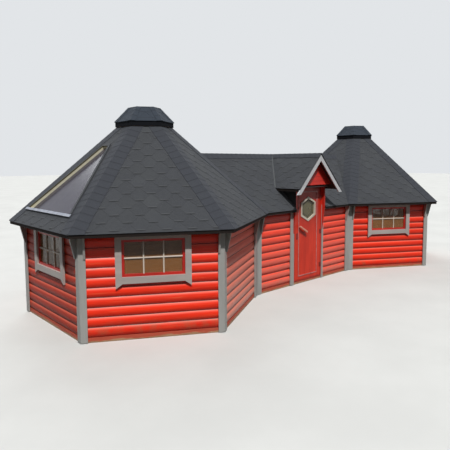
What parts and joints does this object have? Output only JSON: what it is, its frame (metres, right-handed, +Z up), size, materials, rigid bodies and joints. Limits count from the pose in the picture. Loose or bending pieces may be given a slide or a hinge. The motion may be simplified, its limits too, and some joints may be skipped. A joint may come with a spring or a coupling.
{
  "type": "camping cabin",
  "caption": "Log camping cabin: hexagonal rooms under pyramid roofs with vent caps, joined by a middle room with a gabled door; small-paned windows and a roof skylight.",
  "frame": {"origin": "on the ground, at the middle of the building's plan", "axes": "+X along the building, +Y to the rear, away from the door, +Z up"},
  "size_m": [9.8418, 4.2262, 3.2324],
  "materials": {
    "red_logs": "painted logs, satin",
    "red_boards": "painted boards, satin",
    "grey_trim": "painted boards, matt",
    "pale_trim": "painted boards, matt",
    "raw_wood": "planed, unpainted",
    "pale_beam": "sawn, weathered",
    "shingles": "boards under charcoal bitumen shingles",
    "glass": "clear",
    "metal": "folded sheet",
    "ironwork": "dark, satin"
  },
  "bodies": {
    "cabin": {"barge_boards": "pale_trim", "cap_posts": "raw_wood", "corner_boards": "grey_trim", "corner_brackets": "grey_trim", "door_cheeks": "red_boards", "door_frame": "red_boards", "door_side_boards": "grey_trim", "floor_joists": "pale_beam", "frame_hinges": "ironwork", "gable_panel": "red_boards", "gable_roof": "shingles", "gable_soffit": "red_boards", "left_cap": "shingles", "left_end_wall": "red_logs", "left_floor": "raw_wood", "left_front_inner_wall": "red_logs", "left_front_outer_wall": "red_logs", "left_rear_inner_wall": "red_logs", "left_rear_outer_wall": "red_logs", "left_roof_panels": "shingles", "middle_floor": "raw_wood", "middle_front_left_roof": "shingles", "middle_front_left_wall": "red_logs", "middle_front_right_roof": "shingles", "middle_front_right_wall": "red_logs", "middle_rear_roof": "shingles", "middle_rear_wall": "red_logs", "right_cap": "shingles", "right_end_wall": "red_logs", "right_floor": "raw_wood", "right_front_inner_wall": "red_logs", "right_front_outer_wall": "red_logs", "right_rear_inner_wall": "red_logs", "right_rear_outer_wall": "red_logs", "right_roof_panels": "shingles", "sill_beams": "pale_beam", "skylight_curb": "raw_wood", "skylight_glass": "glass", "skylight_sill": "metal", "window_casings": "grey_trim", "window_panes": "glass", "window_sashes": "red_boards"},
    "door": {"door_handle": "raw_wood", "door_leaf": "red_boards", "door_lock": "ironwork", "door_window_frame": "pale_trim", "door_window_glass": "glass", "leaf_hinges": "ironwork"}
  },
  "joints": [
    {"name": "door_hinge", "type": "hinge", "parent": "cabin", "child": "door", "pos_m": [0.3995, -0.964, 0], "axis": [0, 0, 1], "range_deg": [0, 90]}
  ]
}
